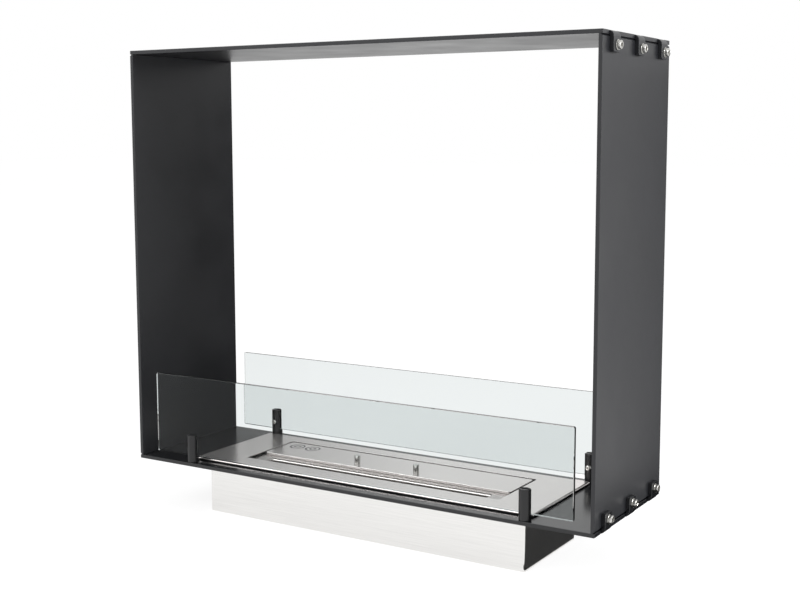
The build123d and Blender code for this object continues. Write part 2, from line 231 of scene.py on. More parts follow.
@dataclass(frozen=True)
class MottledSkin(Skin):
    """An opaque finish with an uneven relief and uneven patches of its second colour."""

    relief_width: float = 1 * MM
    relief_detail: float = 3.0
    # Less than one along an axis where the relief is drawn out
    relief_stretch: Point = (1.0, 1.0, 1.0)
    patch_width: float = 1 * MM
    patch_detail: float = 4.0
    distortion: float = 0.0

    def shade(self, tree: NodeTree) -> None:
        """Fill the tree with the relief and the patches, which also make the gloss uneven where it
        spreads.

        Args:
            tree: the material's node tree.
        """
        place = add_node(tree, "ShaderNodeTexCoord").outputs["Object"]
        stretched = add_node(tree, "ShaderNodeMapping", {
            "Vector": place, "Scale": self.relief_stretch}).outputs[0]
        relief, patches = (
            add_node(tree, "ShaderNodeTexNoise", {
                "Vector": vector, "Scale": 1 / width, "Detail": detail,
                "Distortion": self.distortion}).outputs["Fac"]
            for vector, width, detail in (
                (stretched, self.relief_width, self.relief_detail),
                (place, self.patch_width, self.patch_detail)))
        self.coat(tree, relief, patches, patches if any(self.spread) else None)


@dataclass(frozen=True)
class PowderCoat(MottledSkin):
    """Polyester powder coat, sprayed and baked: anthracite, with orange peel and slow clouds."""

    colour: str = "#1f2023"
    second_colour: str = "#25262a"
    roughness: float = 0.34
    spread: Pair = (0.05, 0.05)
    wear_span: Pair = (0.3, 0.7)
    nature: Traits = (("IOR", 1.5),)
    relief_width: float = 1.4 * MM
    patch_width: float = 90 * MM


@dataclass(frozen=True)
class OxideAndPaintedShade(MottledSkin):
    """Laser-cut sheet edge, nearly black, with the upright ripple that the beam leaves.

    The black is partly the oxide of a cut edge and partly painted shade and painted dark
    reflection, where it covers folded lips, rims and the frame in the gaps.
    """

    colour: str = "#0f0f10"
    second_colour: str = "#2c2b2a"
    nature: Traits = (("Metallic", 0.3),)
    relief_width: float = 0.35 * MM
    relief_detail: float = 1.0
    relief_stretch: Point = (1.0, 1.0, 0.1)
    patch_width: float = 6 * MM


@dataclass(frozen=True)
class SiliconeLiner(MottledSkin):
    """Moulded black silicone: matt, lighter on the raised bits and darker in the hollows as painted
    shade.
    """

    colour: str = "#1b1b1c"
    second_colour: str = "#2c2c2d"
    roughness: float = 0.65
    nature: Traits = (("IOR", 1.43),)
    relief_width: float = 3 * MM
    relief_detail: float = 5.0
    patch_width: float = 3 * MM
    patch_detail: float = 5.0


@dataclass(frozen=True)
class CeramicWool(MottledSkin):
    """Needled ceramic fibre blanket: quite dull, off-white tufts over hollows darkened as painted
    shade.
    """

    colour: str = "#c4bdac"
    second_colour: str = "#e2ddd0"
    roughness: float = 1.0
    relief_height: float = 0.5 * MM
    nature: Traits = (("Sheen Weight", 0.2),)
    relief_width: float = 2.5 * MM
    relief_detail: float = 6.0
    patch_width: float = 2.5 * MM
    patch_detail: float = 6.0
    distortion: float = 1.2


@dataclass(frozen=True)
class BlackAnodised(Skin):
    """Turned aluminium, anodised black: satin, with faint rings of the lathe tool."""

    colour: str = "#141416"
    roughness: float = 0.34
    spread: Pair = (0.06, 0.06)
    relief_height: float = 0.006 * MM
    nature: Traits = (("IOR", 1.5),)
    tool_pitch: float = 0.5 * MM
    grime_width: float = 6 * MM

    def shade(self, tree: NodeTree) -> None:
        """Fill the tree with level tool marks round the upright posts.

        Args:
            tree: the material's node tree.
        """
        place = add_node(tree, "ShaderNodeTexCoord").outputs["Object"]
        marks = add_node(tree, "ShaderNodeTexWave", {
            "Vector": place, "Scale": WAVE_PITCH / self.tool_pitch, "Distortion": 1.0,
            "Detail": 2.0}, wave_type="BANDS", bands_direction="Z").outputs["Fac"]
        grime = add_node(tree, "ShaderNodeTexNoise", {
            "Vector": place, "Scale": 1 / self.grime_width, "Detail": 3.0}).outputs["Fac"]
        self.coat(tree, marks, wear=grime)


@dataclass(frozen=True)
class BrushedStainless(Skin):
    """Stainless sheet, belt-brushed: long fine scratches that smear each reflection across them."""

    colour: str = "#f0efed"
    second_colour: str = "#dddcda"
    roughness: float = 0.2
    spread: Pair = (0.05, 0.05)
    wear_span: Pair = (0.6, 1.4)
    relief_height: float = 0.004 * MM
    grain: Grain = Grain.ACROSS
    anisotropy: float = 0.5
    # Below one where deep scratches scatter part of the light all round, as a matt surface does
    metallic: float = 1.0
    scratch_length: float = 70 * MM
    # A real scratch is about 0.05 mm wide, which no pixel shows, so it is drawn coarser
    scratch_width: float = 0.7 * MM
    smear_width: float = 55 * MM

    def shade(self, tree: NodeTree) -> None:
        """Fill the tree with scratches along the grain and faint smears of handling.

        Args:
            tree: the material's node tree.
        """
        place = add_node(tree, "ShaderNodeTexCoord").outputs["Object"]
        density = [1 / (self.scratch_length if along else self.scratch_width)
                   for along in self.grain.value]
        stretched = add_node(tree, "ShaderNodeMapping", {
            "Vector": place, "Scale": density}).outputs[0]
        scratches = add_node(tree, "ShaderNodeTexNoise", {
            "Vector": stretched, "Scale": 1.0, "Detail": 4.0, "Roughness": 0.6}).outputs["Fac"]
        smears = add_node(tree, "ShaderNodeTexNoise", {
            "Vector": place, "Scale": 1 / self.smear_width, "Detail": 5.0,
            "Distortion": 0.6}).outputs["Fac"]
        handled = add_node(tree, "ShaderNodeMath", {
            0: scratches, 1: smears}, operation="ADD").outputs[0]
        along = add_node(tree, "ShaderNodeCombineXYZ", dict(enumerate(self.grain.value)))
        self.coat(tree, scratches, scratches, handled, {
            "Metallic": self.metallic, "Anisotropic": self.anisotropy,
            "Tangent": along.outputs[0]})


@dataclass(frozen=True)
class EtchedStainless(BrushedStainless):
    """Brushed stainless sheet with plain etched rings, which look matt and darker."""

    ring_centres: tuple[Pair, ...] = ()
    ring_radii: Pair = (10.3 * MM, 4.2 * MM)
    ring_line: float = 2.2 * MM
    etched_colour: str = "#47474a"

    def marked(self, tree: NodeTree, colour: NodeSocket | tuple) -> NodeSocket | tuple:
        """Draw the etched rings into the colour.

        Args:
            tree: the material's node tree.
            colour: the plain sheet's colour.

        Returns:
            The colour with the rings.
        """
        place = add_node(tree, "ShaderNodeTexCoord").outputs["Object"]
        flat = add_node(tree, "ShaderNodeVectorMath", {
            0: place, 1: (1.0, 1.0, 0.0)}, operation="MULTIPLY").outputs[0]
        for x, y in self.ring_centres:
            reach = add_node(tree, "ShaderNodeVectorMath", {
                0: flat, 1: (x, y, 0.0)}, operation="DISTANCE").outputs["Value"]
            for radius in self.ring_radii:
                line = add_node(tree, "ShaderNodeMath", {
                    0: reach, 1: radius, 2: self.ring_line / 2}, operation="COMPARE").outputs[0]
                colour = add_node(tree, "ShaderNodeMix", {
                    "Factor": line, "A": colour, "B": linear(self.etched_colour)},
                    data_type="RGBA").outputs[2]
        return colour


@dataclass(frozen=True)
class TurnedStainless(Skin):
    """Stainless bar, turned on a lathe: bright, with fine rings round each part's own axis."""

    colour: str = "#c9c8c4"
    roughness: float = 0.2
    spread: Pair = (0.05, 0.08)
    relief_height: float = 0.004 * MM
    nature: Traits = (("Metallic", 1.0),)
    tool_pitch: float = 0.3 * MM
    stain_width: float = 4 * MM

    def shade(self, tree: NodeTree) -> None:
        """Fill the tree with rings that follow the turning attribute of the fasteners.

        Args:
            tree: the material's node tree.
        """
        turning = add_node(tree, "ShaderNodeAttribute", attribute_name=TURNING).outputs["Vector"]
        rings = add_node(tree, "ShaderNodeTexWave", {
            "Vector": turning, "Scale": WAVE_PITCH / self.tool_pitch, "Distortion": 0.4,
            "Detail": 1.0}, wave_type="RINGS", rings_direction="Z").outputs["Fac"]
        place = add_node(tree, "ShaderNodeTexCoord").outputs["Object"]
        stains = add_node(tree, "ShaderNodeTexNoise", {
            "Vector": place, "Scale": 1 / self.stain_width, "Detail": 3.0}).outputs["Fac"]
        self.coat(tree, rings, wear=stains)


@dataclass(frozen=True)
class ToughenedGlass(Finish):
    """Clear toughened float glass: its iron shows green only along the polished edges."""

    colour: str = "#e7eaea"
    mirror_tint: str = "#303030"
    body_colour: str = "#8fc8c0"
    body_density: float = 4.0
    shadow_colour: str = "#fafafa"

    def shade(self, tree: NodeTree) -> None:
        """Fill the tree with glass that lets the lamps through, and a green body.

        Args:
            tree: the material's node tree.
        """
        glass = add_node(tree, "ShaderNodeBsdfPrincipled", {
            "Base Color": linear(self.colour), "Roughness": 0.0, "IOR": 1.5,
            "Specular Tint": linear(self.mirror_tint), "Transmission Weight": 1.0}).outputs[0]
        clear = add_node(tree, "ShaderNodeBsdfTransparent", {
            "Color": linear(self.shadow_colour)}).outputs[0]
        # The lamps shine through the pane unbent, and the steel mirrors what lies behind it
        path = add_node(tree, "ShaderNodeLightPath").outputs
        lamp_or_bounce = add_node(tree, "ShaderNodeMath", {
            0: path["Is Shadow Ray"], 1: path["Is Diffuse Ray"]}, operation="MAXIMUM").outputs[0]
        mirrored = add_node(tree, "ShaderNodeMath", {
            0: path["Is Glossy Ray"], 1: path["Is Transmission Ray"]},
            operation="SUBTRACT").outputs[0]
        # A ray that the glass itself turned round inside stays in the glass
        inside = add_node(tree, "ShaderNodeNewGeometry").outputs["Backfacing"]
        trapped = add_node(tree, "ShaderNodeMath", {
            0: inside, 1: path["Transparent Depth"]}, operation="GREATER_THAN").outputs[0]
        passing = add_node(tree, "ShaderNodeMath", {
            0: mirrored, 1: trapped}, operation="SUBTRACT").outputs[0]
        unseen = add_node(tree, "ShaderNodeMath", {
            0: lamp_or_bounce, 1: passing}, operation="MAXIMUM").outputs[0]
        mixed = add_node(tree, "ShaderNodeMixShader", {
            0: unseen, 1: glass, 2: clear}).outputs[0]
        body = add_node(tree, "ShaderNodeVolumeAbsorption", {
            "Color": linear(self.body_colour), "Density": self.body_density}).outputs[0]
        add_node(tree, "ShaderNodeOutputMaterial", {"Surface": mixed, "Volume": body})


@dataclass(frozen=True)
class WovenSeal(Skin):
    """Black glass-fibre tape, woven: matt, with a small over-and-under of its yarns."""

    colour: str = "#1c1c1c"
    second_colour: str = "#323231"
    roughness: float = 0.9
    relief_height: float = 0.15 * MM
    yarn_pitch: float = 1.2 * MM

    def shade(self, tree: NodeTree) -> None:
        """Fill the tree with two crossed bands of yarn.

        Args:
            tree: the material's node tree.
        """
        place = add_node(tree, "ShaderNodeTexCoord").outputs["Object"]
        warp, weft = (
            add_node(tree, "ShaderNodeTexWave", {
                "Vector": place, "Scale": WAVE_PITCH / self.yarn_pitch, "Distortion": 0.5},
                wave_type="BANDS", bands_direction=direction).outputs["Fac"]
            for direction in ("X", "Y"))
        weave = add_node(tree, "ShaderNodeMath", {0: warp, 1: weft}, operation="MULTIPLY").outputs[0]
        self.coat(tree, weave, weave)


POWDER = PowderCoat("polyester_powder_coat", "powder_coat")
# Wiped smooth by cleaning, glossy enough to mirror what stands on it; its darker colour is painted
# shade
WIPED_AND_SHADED_POWDER = PowderCoat("wiped_and_shaded_polyester_powder_coat", "powder_coat", colour="#17181a",
                          second_colour="#1c1d20", roughness=0.18, spread=(0.03, 0.03))
ANODISED = BlackAnodised("black_anodised_aluminium", "post_coat")
BRUSHED = BrushedStainless("stainless_sheet_brushed_across", "burner_steel")
BRUSHED_DEEP = BrushedStainless("stainless_sheet_brushed_deep", "burner_steel", grain=Grain.DEEP)
# Fine close scratches scatter light all round, so the sheet looks pale from every side; its paler
# colour is painted light as well, a painted reflection of a bright lamp
FINE_BRUSHED_PAINTED_LIGHT = BrushedStainless("stainless_sheet_fine_brushed", "burner_steel", colour="#fcf6f4",
                                second_colour="#ede7e5", metallic=0.8)
# A warmer, darker grey sheet, for the sunk tank top and the slot's lining
WARM_GREY_BRUSHED = BrushedStainless("stainless_sheet_warm_grey", "burner_steel", colour="#d0cbc9",
                               second_colour="#b2adab")
# Nearly black: the oxide of cut edges, with painted shade and painted dark reflection on folded lips
# and in gaps
OXIDE_AND_PAINTED_SHADE = OxideAndPaintedShade("laser_cut_oxide_and_painted_shade", "burner_steel")
TURNED = TurnedStainless("turned_stainless_bar", "screw_steel")
# Polished after turning: its mirror images are sharper
POLISHED = TurnedStainless("polished_stainless_bar", "polished_steel", colour="#d5d4d1",
                           roughness=0.13)
GLASS = ToughenedGlass("toughened_float_glass", "pane_glass")
LINER = SiliconeLiner("moulded_black_silicone", "liner")
SEAL = WovenSeal("woven_glass_fibre_tape", "seal")
WOOL = CeramicWool("needled_ceramic_wool", "fibre")


class Section(Enum):
    """The outline of a turned part at one station, seen along its axis."""

    ROUND = "round"
    HEXAGON = "hexagon"


@dataclass(frozen=True)
class Station:
    """One ring of a turned part, its radius taken to the flats where it is a hexagon."""

    name: str
    radius: float
    height: float
    section: Section = Section.ROUND


@dataclass(frozen=True)
class Place:
    """Where one copy of a turned part stands, and the way that it points."""

    point: Vector
    axis: Vector


def dome(radius: float, low: float, high: float, steps: int, inner: float) -> list[Station]:
    """Stations over a quarter ellipse, from a vertical side to a level top.

    Args:
        radius: the outer radius, at its lowest station.
        low: the height where it starts.
        high: the height of the flat top.
        steps: how many stations it has after the first.
        inner: the radius of the flat top.

    Returns:
        The stations, from the lowest to the highest.
    """
    turns = evenly(0.0, math.pi / 2, steps + 1)
    return [Station(f"dome {step}", inner + (radius - inner) * math.cos(turn),
                    low + (high - low) * math.sin(turn)) for step, turn in enumerate(turns)]


def socket(half: float, top: float, depth: float, edge: float) -> list[Station]:
    """Stations of a hexagon socket with a chamfered rim.

    Args:
        half: half its width across the flats.
        top: the height of the head's top.
        depth: the socket's depth.
        edge: the chamfer of its rim.

    Returns:
        The stations, from the rim to the floor.
    """
    return [Station("socket rim", half + edge, top, Section.HEXAGON),
            Station("socket wall", half, top - edge, Section.HEXAGON),
            Station("socket floor", half, top - depth, Section.HEXAGON)]


def washer(outer: float, bore: float, thickness: float, edge: float,
           foot: float) -> list[Station]:
    """Stations of a washer, round its section.

    Args:
        outer: its outer radius.
        bore: its inner radius.
        thickness: its thickness.
        edge: the chamfer of its upper edges.
        foot: the chamfer of its lower outer edge, or zero for a sharp one.

    Returns:
        The stations.
    """
    stations = [Station("outer foot", outer - foot, 0.0)]
    if foot:
        stations.append(Station("outer low", outer, foot))
    return [*stations,
            Station("outer high", outer, thickness - edge),
            Station("outer top", outer - edge, thickness),
            Station("inner top", bore + edge, thickness),
            Station("inner high", bore, thickness - edge),
            Station("inner foot", bore, 0.0)]


def shank_end(radius: float, tip: float, edge: float) -> list[Station]:
    """Stations of the chamfered end of a screw's shank."""
    return [Station("tip", radius - edge, tip), Station("tip edge", radius, tip + edge)]


@dataclass(frozen=True)
class TurnedSet:
    """Copies of one turned part, grown by geometry nodes from its stations and their places."""

    name: str
    stations: list[Station]
    places: list[Place]
    hollow: bool = False
    sides: int = 48
    seed: int = 7
    sharp_angle: float = math.radians(28)

    def tree(self) -> NodeTree:
        """Build the node tree, which extrudes a disc from station to station.

        Returns:
            The tree, with two named size inputs for each station and one for the finish.
        """
        tree = bpy.data.node_groups.new(self.name, "GeometryNodeTree")
        sockets = [("Places", "INPUT", "Geometry"), ("Finish", "INPUT", "Material"),
                   ("Parts", "OUTPUT", "Geometry")]
        for station in self.stations:
            sockets += [(f"{station.name} {size}", "INPUT", "Float") for size in ("radius", "height")]
        for name, way, kind in sockets:
            tree.interface.new_socket(name, in_out=way, socket_type=f"NodeSocket{kind}")
        given = add_node(tree, "NodeGroupInput").outputs
        copies = add_node(tree, "GeometryNodeInstanceOnPoints", {
            "Points": given["Places"], "Instance": self.turned_part(tree, given),
            "Rotation": self.rotation(tree)}).outputs[0]
        real = add_node(tree, "GeometryNodeRealizeInstances", {"Geometry": copies}).outputs[0]
        dressed = add_node(tree, "GeometryNodeSetMaterial", {
            "Geometry": real, "Material": given["Finish"]}).outputs[0]
        add_node(tree, "NodeGroupOutput", {"Parts": dressed})
        return tree

    def rotation(self, tree: NodeTree) -> NodeSocket:
        """Turn each copy to its axis, and by a chance angle about it.

        Args:
            tree: the node tree.

        Returns:
            The rotation of each copy.
        """
        axis = add_node(tree, "GeometryNodeInputNamedAttribute", {"Name": AXIS},
                        data_type="FLOAT_VECTOR").outputs[0]
        aimed = add_node(tree, "FunctionNodeAlignRotationToVector", {"Vector": axis},
                         axis="Z").outputs[0]
        chance = add_node(tree, "FunctionNodeRandomValue", {
            "Min": 0.0, "Max": math.tau / HEX_SIDES, "Seed": self.seed},
            data_type="FLOAT").outputs[1]
        spin = add_node(tree, "FunctionNodeAxisAngleToRotation", {
            "Axis": (0.0, 0.0, 1.0), "Angle": chance}).outputs[0]
        return add_node(tree, "FunctionNodeRotateRotation", {
            "Rotation": aimed, "Rotate By": spin}, rotation_space="LOCAL").outputs[0]

    def rings(self, tree: NodeTree, given: NodeOutputs, position: NodeSocket) -> list[NodeSocket]:
        """Work out where the points of each station's ring lie.

        Args:
            tree: the node tree.
            given: the outputs of the tree's input node.
            position: the place of each point, which gives the way that it lies from the axis.

        Returns:
            The places, station by station.
        """
        level = add_node(tree, "ShaderNodeVectorMath", {
            0: position, 1: (1.0, 1.0, 0.0)}, operation="MULTIPLY").outputs[0]
        outward = add_node(tree, "ShaderNodeVectorMath", {0: level},
                           operation="NORMALIZE").outputs[0]
        split = add_node(tree, "ShaderNodeSeparateXYZ", {0: position}).outputs
        # The point's angle about the axis, then that from the middle of its flat, then its cosine
        cosine = add_node(tree, "ShaderNodeMath", {0: split["Y"], 1: split["X"]},
                          operation="ARCTAN2").outputs[0]
        for value, operation in ((math.tau / HEX_SIDES, "FLOORED_MODULO"),
                                 (math.pi / HEX_SIDES, "SUBTRACT"), (0.0, "COSINE")):
            cosine = add_node(tree, "ShaderNodeMath", {0: cosine, 1: value},
                              operation=operation).outputs[0]
        places = []
        for station in self.stations:
            reach = given[f"{station.name} radius"]
            if station.section is Section.HEXAGON:
                reach = add_node(tree, "ShaderNodeMath", {0: reach, 1: cosine},
                                 operation="DIVIDE").outputs[0]
            spoke = add_node(tree, "ShaderNodeVectorMath", {0: outward, "Scale": reach},
                             operation="SCALE").outputs[0]
            height = add_node(tree, "ShaderNodeCombineXYZ", {
                "Z": given[f"{station.name} height"]}).outputs[0]
            places.append(add_node(tree, "ShaderNodeVectorMath", {0: spoke, 1: height},
                                   operation="ADD").outputs[0])
        return places

    def turned_part(self, tree: NodeTree, given: NodeOutputs) -> NodeSocket:
        """Turn one part about the Z axis.

        Args:
            tree: the node tree.
            given: the outputs of the tree's input node.

        Returns:
            The part, closed, with its own place stored for the finish.
        """
        position = add_node(tree, "GeometryNodeInputPosition").outputs[0]
        first, *following = self.rings(tree, given, position)
        # The disc's radius only gives its points a direction
        disc = add_node(tree, "GeometryNodeMeshCircle", {
            "Vertices": self.sides, "Radius": MM}, fill_type="NGON").outputs[0]
        start = add_node(tree, "GeometryNodeSetPosition", {
            "Geometry": disc, "Position": first}).outputs[0]
        shape = start
        top = True
        for ring in following + ([first] if self.hollow else []):
            grown = add_node(tree, "GeometryNodeExtrudeMesh", {
                "Mesh": shape, "Selection": top, "Offset Scale": 0.0, "Individual": False},
                mode="FACES").outputs
            top = grown["Top"]
            shape = add_node(tree, "GeometryNodeSetPosition", {
                "Geometry": grown["Mesh"], "Selection": top, "Position": ring}).outputs[0]
        if self.hollow:
            shape = add_node(tree, "GeometryNodeDeleteGeometry", {
                "Geometry": shape, "Selection": top}, domain="FACE").outputs[0]
        else:
            cap = add_node(tree, "GeometryNodeFlipFaces", {"Mesh": start}).outputs[0]
            joined = add_node(tree, "GeometryNodeJoinGeometry", {"Geometry": shape})
            tree.links.new(cap, joined.inputs["Geometry"])
            shape = joined.outputs[0]
        closed = add_node(tree, "GeometryNodeMergeByDistance", {
            "Geometry": shape, "Distance": WELD}).outputs[0]
        return add_node(tree, "GeometryNodeStoreNamedAttribute", {
            "Geometry": closed, "Name": TURNING, "Value": position},
            data_type="FLOAT_VECTOR", domain="POINT").outputs[0]

    def mesh(self, finish: Finish) -> Mesh:
        """Grow the copies and turn them into a plain mesh.

        Args:
            finish: the finish of the parts.

        Returns:
            One mesh with every copy in its place.
        """
        seeds = bpy.data.meshes.new(f"{self.name}_places")
        seeds.from_pydata([place.point for place in self.places], [], [])
        aims = seeds.attributes.new(AXIS, "FLOAT_VECTOR", "POINT")
        for entry, place in zip(aims.data, self.places):
            entry.vector = place.axis
        grower = new_object(f"{self.name}_grower", seeds)
        modifier = grower.modifiers.new("turned_parts", "NODES")
        modifier.node_group = self.tree()
        values = {"Finish": finish.material()}
        for station in self.stations:
            values[f"{station.name} radius"] = station.radius
            values[f"{station.name} height"] = station.height
        for item in modifier.node_group.interface.items_tree:
            if item.name in values:
                modifier[item.identifier] = values[item.name]
        mesh = evaluated(grower)
        smooth(mesh, self.sharp_angle)
        return mesh


def evaluated(piece: Object) -> Mesh:
    """Turn an object with modifiers into a mesh, and remove the object.

    Args:
        piece: an object in the scene.

    Returns:
        A new mesh of what the modifiers make.
    """
    depsgraph = bpy.context.evaluated_depsgraph_get()
    mesh = bpy.data.meshes.new_from_object(piece.evaluated_get(depsgraph))
    bpy.data.objects.remove(piece)
    return mesh


def plain_mesh(name: str, shell: BMesh) -> Mesh:
    """Turn a working mesh into a plain one, and free it.

    Args:
        name: the plain mesh's name.
        shell: the working mesh.

    Returns:
        The plain mesh.
    """
    mesh = bpy.data.meshes.new(name)
    shell.to_mesh(mesh)
    shell.free()
    return mesh


def smooth(mesh: Mesh, sharp_angle: float) -> None:
    """Shade a mesh smooth, apart from the edges that turn by more than the sharp angle."""
    mesh.shade_smooth()
    mesh.set_sharp_from_angle(angle=sharp_angle)


class Rim(Enum):
    """Which top edges of a sheet are bent down: those of its outline or those of its opening."""

    OUTLINE = 1
    OPENING = -1


def round_folds(shell: BMesh, radius: float, rim: Rim, steps: int = 5, steep: float = 0.5) -> None:
    """Round the top edges of a folded sheet, where the sheet is bent down.

    Args:
        shell: the sheet's mesh.
        radius: the outer radius of the fold.
        rim: which edges are folded.
        steps: the faces across the fold.
        steep: how far a wall's normal may lean up or down.
    """
    top = max(vertex.co.z for vertex in shell.verts)
    middle = sum((vertex.co for vertex in shell.verts), Vector()) / len(shell.verts)
    folds = []
    for edge in shell.edges:
        level = all(abs(vertex.co.z - top) < WELD for vertex in edge.verts)
        walls = [face for face in edge.link_faces if abs(face.normal.z) < steep]
        if level and walls and walls[0].normal.dot(edge.verts[0].co - middle) * rim.value > 0:
            folds.append(edge)
    bmesh.ops.bevel(shell, geom=folds, offset=radius, segments=steps, profile=0.5,
                    affect="EDGES")


def eased_copy(node: str, radius: float, steps: int = 2, fold: float = 0.0,
               rim: Rim = Rim.OUTLINE) -> Mesh:
    """Copy an exact node as closed shells with whole flat faces, and round its sharp edges.

    Args:
        node: the node's name.
        radius: how far the rounding reaches from each edge.
        steps: the faces across each rounding.
        fold: the radius of the top edges where the sheet is folded, or zero.
        rim: which top edges are folded.

    Returns:
        The copy as a plain mesh.
    """
    shell = bmesh.new()
    shell.from_mesh(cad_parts[node].data)
    bmesh.ops.remove_doubles(shell, verts=shell.verts, dist=WELD)
    bmesh.ops.dissolve_limit(shell, angle_limit=FLAT_ANGLE, verts=shell.verts,
                             edges=shell.edges, use_dissolve_boundaries=False)
    if fold:
        round_folds(shell, fold, rim)
    rough = plain_mesh(f"{node}_rough", shell)
    rough.shade_smooth()
    easer = new_object(f"{node}_easer", rough)
    rounding = easer.modifiers.new("eased_edges", "BEVEL")
    rounding.width = radius
    rounding.segments = steps
    rounding.limit_method = "ANGLE"
    rounding.angle_limit = EASED_ANGLE
    rounding.use_clamp_overlap = False
    rounding.harden_normals = True
    rounding.miter_outer = "MITER_ARC"
    # The full weight, so that the rounding doesn't shade the flat faces beside it
    flattener = easer.modifiers.new("flat_faces_stay_flat", "WEIGHTED_NORMAL")
    flattener.weight = 100
    return evaluated(easer)


class Axis(Enum):
    """An axis of the object, as its place in a vector."""

    X = 0
    Z = 2


def mark_faces(mesh: Mesh, axis: Axis, low: float = -math.inf, high: float = math.inf) -> None:
    """Give the second finish to the faces whose normal leans along an axis by such a share.

    Args:
        mesh: the mesh of a sheet part.
        axis: the axis.
        low: the share that the normal stays above.
        high: the share that it stays below.
    """
    for face in mesh.polygons:
        face.material_index = int(low < abs(face.normal[axis.value]) < high)


class SubAssembly:
    """What all sub-assemblies share: adding a made piece, and dressing an exact node."""

    def add(self, name: str, mesh: Mesh, body: str, finishes: list[Finish],
            *replaced: str) -> Object:
        """Put a finished mesh into the scene as a piece of the object.

        Args:
            name: the piece's name.
            mesh: its mesh, in place.
            body: the body that it rides on.
            finishes: its finishes, in the order of its material slots.
            *replaced: the exact nodes that it stands for.

        Returns:
            The piece.
        """
        mesh.name = name
        mesh.materials.clear()
        for finish in finishes:
            mesh.materials.append(finish.material())
        piece = new_object(name, mesh)
        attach(piece, body)
        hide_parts(*replaced)
        log.info("%s: %d faces, for %s", name, len(mesh.polygons), ", ".join(replaced))
        return piece

    def add_turned(self, parts: TurnedSet, *replaced: str, body: str = "frame",
                   finish: Finish = TURNED) -> None:
        """Grow a set of turned parts and put it into the scene under its own name."""
        self.add(parts.name, parts.mesh(finish), body, [finish], *replaced)

    def dress(self, node: str, finish: Finish) -> None:
        """Give an exact node its finish.

        Args:
            node: the node's name.
            finish: its finish.
        """
        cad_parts[node].material_slots[0].material = finish.material()
        log.info("%s: dressed in %s", node, finish.name)


@dataclass
class FrameShell(SubAssembly):
    """The four powder-coated plates."""

    edge_radius: float = 0.45 * MM
    edge_steps: int = 3

    def build(self) -> None:
        """Make the plates again with eased edges, as the coat leaves them."""
        for node in ("top_plate", "bottom_plate", "left_side_plate", "right_side_plate"):
            # The low bottom plate gets the darker coat, as painted shade
            finish = WIPED_AND_SHADED_POWDER if node == "bottom_plate" else POWDER
            mesh = eased_copy(node, self.edge_radius, self.edge_steps)
            self.add(f"coated_{node}", mesh, "frame", [finish], node)


class Side(Enum):
    """An end of the frame, as the way along X that it faces."""

    RIGHT = 1.0
    LEFT = -1.0


@dataclass
class TabFasteners(SubAssembly):
    """The screws and washers that join the tabs to the side plates."""

    head_radius: float = 5 * MM
    head_height: float = 4 * MM
    rim_radius: float = 0.9 * MM
    rim_steps: int = 5
    shank_radius: float = 3 * MM
    socket_half: float = 2.5 * MM
    socket_depth: float = 2.4 * MM
    socket_chamfer: float = 0.2 * MM
    drill_share: float = 0.5
    edge: float = 0.25 * MM
    washer_radius: float = 6 * MM
    washer_bore: float = 3.2 * MM
    rows: int = 3
    right_seed: int = 11
    left_seed: int = 12

    def places(self, side: Side) -> list[Place]:
        """Where the screws of one side meet their tabs.

        Args:
            side: the end of the frame.

        Returns:
            A place for each washer, on the tab's face.
        """
        low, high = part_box(f"{side.name.lower()}_tab_washers")
        face = low.x if side is Side.RIGHT else high.x
        reach = self.washer_radius
        return [Place(Vector((face, y, z)), Vector((side.value, 0.0, 0.0)))
                for z in (low.z + reach, high.z - reach)
                for y in evenly(low.y + reach, high.y - reach, self.rows)]

    def screw(self, seat: float, tip: float) -> list[Station]:
        """The stations of one screw, from its tip to the floor of its socket.

        Args:
            seat: the height of the head's underside.
            tip: the height of the shank's end.

        Returns:
            The stations.
        """
        top = seat + self.head_height
        return [
            *shank_end(self.shank_radius, tip, self.edge),
            Station("shank", self.shank_radius, seat),
            Station("head seat", self.head_radius - self.edge, seat),
            Station("head foot", self.head_radius, seat + self.edge),
            *dome(self.head_radius, top - self.rim_radius, top, self.rim_steps,
                  self.head_radius - self.rim_radius),
            *socket(self.socket_half, top, self.socket_depth, self.socket_chamfer),
            Station("drill", self.socket_half * self.drill_share,
                    top - self.socket_depth - self.edge),
        ]

    def build(self) -> None:
        """Make both sides' screws and washers."""
        for side, seed in ((Side.RIGHT, self.right_seed), (Side.LEFT, self.left_seed)):
            end = side.name.lower()
            low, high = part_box(f"{end}_tab_washers")
            thickness = high.x - low.x
            screw_low, screw_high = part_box(f"{end}_tab_screws")
            tip = min(abs(screw_low.x), abs(screw_high.x)) - min(abs(low.x), abs(high.x))
            places = self.places(side)
            rings = washer(self.washer_radius, self.washer_bore, thickness, self.edge, self.edge)
            self.add_turned(TurnedSet(f"{end}_tab_screw_set", self.screw(thickness, tip), places,
                                      seed=seed), f"{end}_tab_screws")
            self.add_turned(TurnedSet(f"{end}_tab_washer_set", rings, places, hollow=True),
                            f"{end}_tab_washers")


